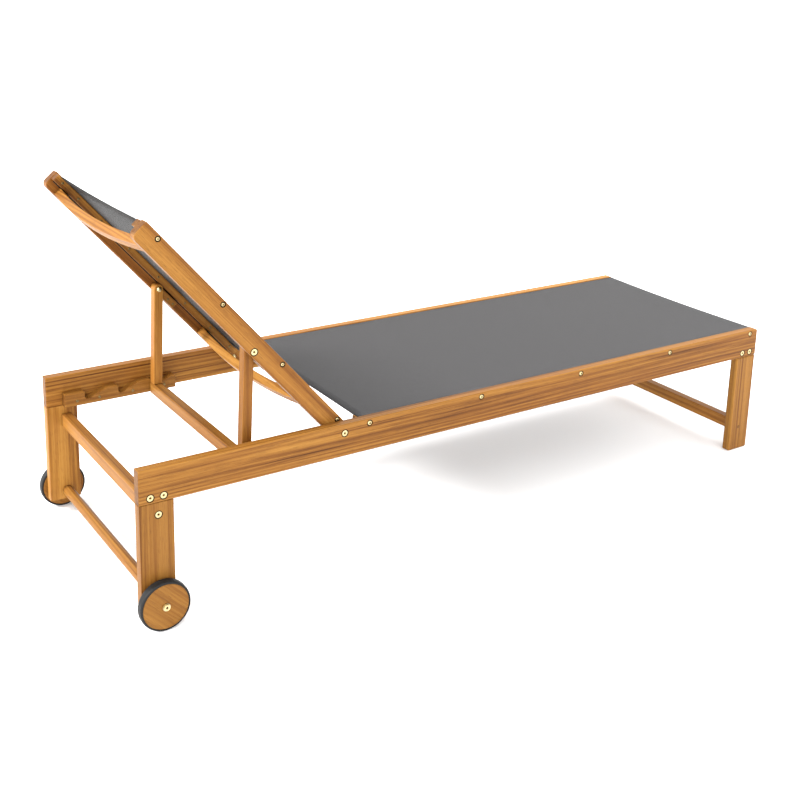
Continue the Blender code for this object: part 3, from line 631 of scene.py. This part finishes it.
def sling_rows(sling):
    """(y, drop) pairs across the cloth; drop is None where it lies flat."""
    rows = []
    wall = sling.top - ROLL - sling.slot_low
    for step in range(WALL_STEPS + 1):
        rows.append((sling.slot, sling.slot_low + wall * step / WALL_STEPS))
    for step in range(1, ROLL_STEPS):
        angle = math.pi / 2 * step / ROLL_STEPS
        rise = (ROLL - CLOTH / 2) * math.sin(angle)
        rows.append((sling.flat + ROLL * math.cos(angle), sling.top - ROLL + rise))
    half = [(sling.flat * (1 - step / HALF_STEPS), None) for step in range(HALF_STEPS)]
    first = rows + half
    return first + [(0.0, None)] + [(-y, drop) for y, drop in reversed(first)]


def add_cloth(sling, material, columns):
    """The stretched cloth, rolled down into the slots beside its battens."""
    bm = bmesh.new()
    rows = sling_rows(sling)
    grid = []
    for column in range(columns + 1):
        share = column / columns
        line = []
        for y, drop in rows:
            flat_y = max(-sling.flat, min(sling.flat, y))
            x = sling.run(share, flat_y)
            z = sling.height(x, flat_y) if drop is None else drop
            line.append(bm.verts.new((x, y, z)))
        grid.append(line)
    for first, second in zip(grid, grid[1:]):
        for index in range(len(rows) - 1):
            bm.faces.new((first[index], first[index + 1], second[index + 1], second[index]))
    made = piece(sling.name, bm, sling.matrix, sling.body, material)
    solid = made.modifiers.new("thickness", "SOLIDIFY")
    solid.thickness = CLOTH
    solid.offset = 0.0
    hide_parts(sling.cad_node)
    return made


def add_hem(sling, label, share, material):
    """The folded hem under one free end, with the fold's round edge."""
    bm = bmesh.new()
    way = 1 if share > 0.5 else -1
    inside = sling.inside - HEM_INSET
    loops = []
    for step in range(HEM_STEPS + 1):
        y = inside * (2 * step / HEM_STEPS - 1)
        x = sling.run(share, y)
        z = sling.height(x, y)
        low = z - CLOTH - HEM_GAP
        fold = (low + z) / 2
        outer = (
            (-HEM_WIDTH, low), (0.0, low - CLOTH * 0.3), (0.0011, low + 0.0002),
            (0.0016, fold), (0.0011, z - 0.0001), (0.0, z + CLOTH * 0.30),
        )
        inner = (
            (-0.0002, z - CLOTH * 0.62), (0.0004, fold + 0.0001),
            (-0.0002, low + CLOTH * 0.5), (-HEM_WIDTH, low + CLOTH * 0.8),
        )
        loops.append([bm.verts.new((x + way * out, y, up)) for out, up in outer + inner])
    closed(bm, loops)
    name = f"{sling.name}_hem_{label}"
    return piece(name, bm, sling.matrix, sling.body, material)


def add_stitching(sling, label, share, material):
    """Two rows of thread through one hem."""
    bm = bmesh.new()
    way = 1 if share > 0.5 else -1
    count = int(2 * sling.inside / STITCH_PITCH)
    for row in STITCH_ROWS:
        for step in range(count):
            y = -sling.inside + STITCH_PITCH * (step + 0.5)
            x = sling.run(share, y) - way * row
            z = sling.height(x, y) + CLOTH / 2
            add_stitch(bm, Vector((x, y, z)), Vector((0, 1, 0)))
    name = f"{sling.name}_stitching_{label}"
    return piece(name, bm, sling.matrix, sling.body, material)


def add_stitch(bm, spot, along):
    """One stitch: a short spindle, half sunk in the cloth."""
    across = Vector((0, 0, 1)).cross(along).normalized()
    rings = []
    for share, girth in STITCH_PROFILE:
        points = []
        for corner in range(6):
            angle = math.pi * corner / 3
            up = Vector((0, 0, THREAD_HALF_HEIGHT * math.sin(angle)))
            out = across * (THREAD_HALF_WIDTH * math.cos(angle)) + up
            points.append(bm.verts.new(spot + along * (STITCH_LENGTH * share) + out * girth))
        rings.append(points)
    closed(bm, rings)


def add_sling(sling, columns, rng):
    """Cloth, hems and thread of one stretched sling."""
    cloth = fabric_material(sling.name, CLOTH_DARK, CLOTH_LIGHT, rng, sling.flat)
    hem_dark = tuple(HEM_SHADE * channel for channel in CLOTH_DARK)
    hem_light = tuple(HEM_SHADE * channel for channel in CLOTH_LIGHT)
    edging = fabric_material(sling.name + "_hem", hem_dark, hem_light, rng, sling.flat)
    thread = rubber_material("thread_" + sling.name, THREAD, rng)
    made = add_cloth(sling, cloth, columns)
    for label, share in (("head", 0.0), ("foot", 1.0)):
        add_hem(sling, label, share, edging)
        add_stitching(sling, label, share, thread)


# ---------------------------------------------------------------- fittings
def add_sling_screws(label, side, rng):
    """Cap screws in the seats on the rails' outer faces, over dark rings of painted shade."""
    metal = metal_material("brass_sling_screws_" + label, BRASS, 0.30, rng)
    # painted shade: dark material for the rings and socket floors
    dull = metal_material("dark_sling_washers_" + label, PAINTED_SHADE_DARK, 0.45, rng)
    low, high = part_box("side_rail_" + label)
    face = abs(low.y if side < 0 else high.y)
    head = low.x
    spots = [(head + place, side * face, high.z - SEAT_SCREW_DROP) for place in SEAT_SCREW_PLACES]
    name = "seat_sling_{}_" + label
    add_cap_screws(name, spots, side, FRAME, "frame", (metal, dull), rng, SEAT_SCREW_RADII)
    low, high = local_box("back_rail_" + label, BACK)
    face = abs(low.y if side < 0 else high.y)
    spots = [(-up, side * face, BACK_SCREW_RISE) for up in BACK_SCREW_PLACES]
    name = "back_sling_{}_" + label
    add_cap_screws(name, spots, side, BACK, "backrest", (metal, dull), rng, BACK_SCREW_RADII)


def add_cap_screws(name, spots, side, matrix, body, metals, rng, radii):
    """A row of domed hexagon-socket heads in their seats, with painted shade: a dark ring under
    each head and a dark floor in its socket.
    """
    washer, radius = radii
    # painted shade: a dark ring under each head stands for the shadow in its seat, and a dark
    # disc stands for the shade in its socket
    rim = ((washer, -0.0026), (washer, -0.0018), (washer - 0.0002, -CAP_SINK))
    floor = ((radius * 0.39, -0.0002), (radius * 0.39, 0.0), (radius * 0.30, 0.0002))
    heads = bmesh.new()
    washers = bmesh.new()
    for spot in spots:
        base = outward(side, spot, rng.uniform(0, math.pi))
        seat = base @ Matrix.Translation((0, 0, -CAP_SINK))
        screw_head(heads, seat, radius, CAP_HEIGHT, hex_outline)
        lathe(washers, base, rim)
        socket = base @ Matrix.Translation((0, 0, -CAP_SINK + CAP_HEIGHT * CAP_SOCKET_FLOOR))
        lathe(washers, socket, floor, 6)
    piece(name.format("screws"), heads, matrix, body, metals[0])
    piece(name.format("washers"), washers, matrix, body, metals[1])


def add_bolt_rings(label, side, rng):
    """Painted shadow: dark rings round the bolt heads, and dark floors of painted shade in their
    sockets.
    """
    # painted shade: dark material for the rings and socket floors
    dull = metal_material("dark_bolt_washers_" + label, PAINTED_SHADE_DARK, 0.45, rng)
    frame_bolts = (
        "head_rail_bolt", "foot_rail_bolt", "crossbar_bolt", "back_pivot_bolt", "wheel_bolt",
    )
    for body, prefixes in (("frame", frame_bolts), ("backrest", ("prop_bolt",))):
        bm = bmesh.new()
        for name in sorted(NODES):
            if not name.startswith(prefixes) or f"_{label}" not in name:
                continue
            low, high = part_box(name)
            face = high.y if side > 0 else low.y
            x, z = (low.x + high.x) / 2, (low.z + high.z) / 2
            radius = (high.x - low.x) / 2
            base = outward(side, (x, face, z), math.pi / 6)
            if "wheel" not in name:
                # painted shadow: a dark ring just proud of the wood round the head
                annulus(bm, base, radius + RING_GAP, radius + RING_REACH, RING_LOW, RING_HIGH)
            # painted shade on the socket's floor
            lathe(bm, base, BOLT_SOCKET, 6)
        piece(f"bolt_washers_{body}_{label}", bm, FRAME, body, dull)


def add_wood_screws(name, spots, facing, matrix, body, rng, radius):
    """Small cross-head screws; facing turns +Z out of the wood."""
    metal = metal_material("steel_" + name, SCREW_STEEL, 0.38, rng)
    bm = bmesh.new()
    for spot in spots:
        spin = Matrix.Rotation(rng.uniform(0, 1.5), 4, "Z")
        base = Matrix.Translation(Vector(spot)) @ facing @ spin
        screw_head(bm, base, radius, radius * 0.28, cross_outline)
    piece(name, bm, matrix, body, metal)


def add_small_screws(label, side, rng):
    """Screws of the battens, racks, stop blocks and prop bar."""
    inward = Matrix.Rotation(side * math.pi / 2, 4, "X")
    under = Matrix.Rotation(math.pi, 4, "X")

    def add_row(name, spots, facing, matrix, body, radius):
        """One row of screws, named for its side."""
        add_wood_screws(f"{name}_{label}", spots, facing, matrix, body, rng, radius)

    low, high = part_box("rack_" + label)
    face = inner_face((low, high), side)
    spots = [(low.x + place, face, low.z + RACK_SCREW_RISE) for place in RACK_SCREW_PLACES]
    add_row("rack_screws", spots, inward, FRAME, "frame", RACK_SCREW_RADIUS)

    low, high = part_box("seat_batten_" + label)
    face = inner_face((low, high), side)
    middle_z = (low.z + high.z) / 2
    gap = (high.x - low.x - 2 * SEAT_BATTEN_SCREW_INSET) / (SEAT_BATTEN_SCREWS - 1)
    first = low.x + SEAT_BATTEN_SCREW_INSET
    spots = [(first + gap * step, face, middle_z) for step in range(SEAT_BATTEN_SCREWS)]
    add_row("seat_batten_screws", spots, inward, FRAME, "frame", BATTEN_SCREW_RADIUS)

    low, high = local_box("back_batten_" + label, BACK)
    face = inner_face((low, high), side)
    spots = [(-up, face, (low.z + high.z) / 2) for up in BACK_BATTEN_SCREW_PLACES]
    add_row("back_batten_screws", spots, inward, BACK, "backrest", BATTEN_SCREW_RADIUS)

    low, high = local_box("prop_stop_" + label, BACK)
    face = inner_face((low, high), side)
    middle_z = (low.z + high.z) / 2
    spots = [(high.x - inset, face, middle_z) for inset in PROP_STOP_SCREW_INSETS]
    add_row("prop_stop_screws", spots, inward, BACK, "backrest", PROP_STOP_SCREW_RADIUS)

    low, high = local_box("prop_crossbar", PROP)
    spots = [(0, side * (high.y - PROP_BAR_SCREW_INSET), low.z)]
    add_row("prop_bar_screw", spots, under, PROP, "prop", PROP_BAR_SCREW_RADIUS)


def add_prop_end(label, side, rng):
    """The rounded end of the prop bar that sits in a rack notch."""
    low, high = local_box("prop_crossbar", PROP)
    rack_low, rack_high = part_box("rack_" + label)
    tip = max(abs(rack_low.y), abs(rack_high.y)) - PROP_END_CLEARANCE
    start = high.y - PROP_END_OVERLAP
    reach = tip - start
    radius = PROP_END_RADIUS
    bm = bmesh.new()
    base = outward(side, (0, side * start, high.z - PROP_END_DROP))
    profile = (
        (radius, 0.0), (radius, reach - 0.0022),
        (radius * 0.94, reach - 0.0008), (radius * 0.78, reach),
    )
    lathe(bm, base, profile, 28)
    turn = (0.0, 0.0, -math.pi / 2)
    name = "prop_end_" + label
    wood = wood_material(name, turn, Vector((0, 0, 0)), (0, 1, 0), rng, PROP_END_TONE)
    piece(name, bm, PROP, "prop", wood)


def add_leg_plug(label, side, rng):
    """Turned plug over the stretcher's screw on the foot leg's outer face."""
    low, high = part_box("foot_leg_" + label)
    face = side * max(abs(low.y), abs(high.y))
    stretcher = middle("foot_stretcher")
    spot = (stretcher.x, face, stretcher.z - PLUG_DROP)
    bm = bmesh.new()
    lathe(bm, outward(side, spot), PLUG_PROFILE)
    name = "leg_plug_" + label
    wood = wood_material(name, (0, 0, 0), Vector(spot), (1, 0, 0), rng, PLUG_TONE)
    piece(name, bm, FRAME, "frame", wood)


# --------------------------------------------------------- carried-over CAD
def paint(node_name, material):
    """Give a CAD node a finished material."""
    shown = NODES[node_name]
    for material_slot in shown.material_slots:
        material_slot.material = material


def paint_wood(rng):
    """Wood for every board, with the grain along it."""
    along_x = (0.0, 0.0, 0.0)
    along_y = (0.0, 0.0, -math.pi / 2)
    along_z = (0.0, math.pi / 2, 0.0)
    along_back = (0.0, -BACK_ANGLE, 0.0)
    slanted = (0.0, -math.pi / 4, 0.0)
    up_back = (math.cos(BACK_ANGLE), 0.0, -math.sin(BACK_ANGLE))
    # turn to the grain, end-grain axis, nodes, tone, wander, heartwood, contrast
    sets = (
        (along_x, (1, 0, 0), ("side_rail_{}",), 1.0, 0.45, (-0.008, 0.16), 1.0),
        (along_x, (1, 0, 0), ("seat_batten_{}", "rack_{}"), 0.92, 0.45, None, 0.8),
        (along_z, (0, 0, 1), ("head_leg_{}", "foot_leg_{}"), 0.97, 1.0, None, 0.80),
        (slanted, (0, 0, 0), ("wheel_disc_{}",), 0.97, 1.0, None, 0.50),
        (along_z, (0, 0, 1), ("prop_leg_{}",), 0.92, 0.45, None, 0.75),
        (along_back, up_back, ("back_rail_{}",), 1.10, 0.60, None, 0.9),
        (along_back, up_back, ("back_batten_{}", "prop_stop_{}"), 0.92, 0.45, None, 0.8),
    )
    for turn, axis, names, tone, wander, heart, contrast in sets:
        for label in SIDES:
            for pattern in names:
                name = pattern.format(label)
                # the per-board multiplier paints light and shade into the board's tone
                shade = tone * rng.uniform(0.95, 1.05) * BOARD_PAINTED_LIGHT.get(name, 1.0)
                paint(name, wood_material(
                    name, turn, middle(name), axis, rng, shade, wander, heart, contrast,
                ))
    bars = ("head_crossbar", "foot_stretcher", "axle_bar", "seat_bow_head", "seat_bow_foot")
    for name in bars + ("head_bow", "lumbar_bow", "prop_crossbar"):
        # the per-board multiplier paints light and shade into the bar's tone
        shade = rng.uniform(0.90, 1.04) * BOARD_PAINTED_LIGHT.get(name, 1.0)
        paint(name, wood_material(name, along_y, middle(name), (0, 1, 0), rng, shade, 0.45))


def paint_rest(rng):
    """Metal, rubber and nylon for the other CAD nodes."""
    for name in sorted(NODES):
        if "bolt" in name or "nut" in name:
            paint(name, metal_material("brass_" + name, BRASS, 0.28, rng))
        elif "washer" in name:
            paint(name, metal_material("steel_" + name, WASHER_STEEL, 0.34, rng))
        elif "tyre" in name:
            paint(name, rubber_material("rubber_" + name, TYRE_RUBBER, rng))
        elif "bush" in name:
            paint(name, rubber_material("nylon_" + name, NYLON, rng))


# ------------------------------------------------------------------- stage
def add_floor():
    """Plain pale floor."""
    bm = bmesh.new()
    corners = ((-1, -1), (1, -1), (1, 1), (-1, 1))
    points = [(x * FLOOR_HALF, y * FLOOR_HALF, -FLOOR_DROP) for x, y in corners]
    bm.faces.new([bm.verts.new(point) for point in points])
    mesh = bpy.data.meshes.new("floor")
    bm.to_mesh(mesh)
    bm.free()
    made, _, shader = blank_material("floor")
    shader.inputs["Base Color"].default_value = FLOOR_COLOUR
    shader.inputs["Roughness"].default_value = 0.9
    shader.inputs["Specular IOR Level"].default_value = 0.1
    mesh.materials.append(made)
    floor = placed("floor", mesh)


def add_sun(name, source, strength, softness):
    """A wide soft light from one direction."""
    data = bpy.data.lights.new(name, "SUN")
    data.energy = strength
    data.angle = math.radians(softness)
    made = placed(name, data)
    made.rotation_euler = (-Vector(source)).to_track_quat("-Z", "Y").to_euler()


def add_lights():
    """White surroundings and three wide suns from above."""
    world = bpy.data.worlds.new("studio")
    world.use_nodes = True
    background = world.node_tree.nodes["Background"]
    background.inputs["Color"].default_value = (1.0, 1.0, 1.0, 1.0)
    background.inputs["Strength"].default_value = WORLD_STRENGTH
    bpy.context.scene.world = world
    for name, source, strength, softness in SUNS:
        add_sun(name, source, strength, softness)
    bpy.context.scene.view_settings.view_transform = "Standard"


def add_camera():
    """Camera at the photograph's viewing angle."""
    ahead = Vector((
        math.sin(CAMERA_YAW) * math.cos(CAMERA_PITCH),
        math.cos(CAMERA_YAW) * math.cos(CAMERA_PITCH),
        -math.sin(CAMERA_PITCH),
    ))
    right = Vector((math.cos(CAMERA_YAW), -math.sin(CAMERA_YAW), 0.0))
    up = right.cross(ahead)
    rolled_right = right * math.cos(CAMERA_ROLL) + up * math.sin(CAMERA_ROLL)
    rolled_up = up * math.cos(CAMERA_ROLL) - right * math.sin(CAMERA_ROLL)
    data = bpy.data.cameras.new("camera")
    data.lens = CAMERA_LENS
    data.sensor_width = 36.0
    data.shift_y = CAMERA_SHIFT
    made = placed("camera", data)
    basis = Matrix((rolled_right, rolled_up, -ahead)).transposed()
    made.matrix_world = Matrix.Translation(CAMERA_SPOT) @ basis.to_4x4()
    bpy.context.scene.camera = made


def main():
    """Dress the frame, light it and point the camera at it."""
    rng = random.Random(SEED)
    paint_wood(rng)
    paint_rest(rng)
    rail_low, rail_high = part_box("side_rail_right")
    head = rail_low.x
    seat_screws = [head + place for place in SEAT_SCREW_PLACES]
    seat = Sling(
        "seat_fabric", "frame", FRAME, "seat_sling", "seat_batten_left",
        abs(rail_high.y), SEAT_SAG, seat_screws,
    )
    _, back_high = local_box("back_rail_right", BACK)
    back_screws = [-up for up in BACK_SCREW_PLACES]
    back = Sling(
        "back_fabric", "backrest", BACK, "back_sling", "back_batten_left",
        abs(back_high.y), BACK_SAG, back_screws,
    )
    add_sling(seat, SEAT_COLUMNS, rng)
    add_sling(back, BACK_COLUMNS, rng)
    for label, side in SIDES.items():
        add_sling_screws(label, side, rng)
        add_bolt_rings(label, side, rng)
        add_small_screws(label, side, rng)
        add_prop_end(label, side, rng)
        add_leg_plug(label, side, rng)
    add_floor()
    add_lights()
    add_camera()


main()
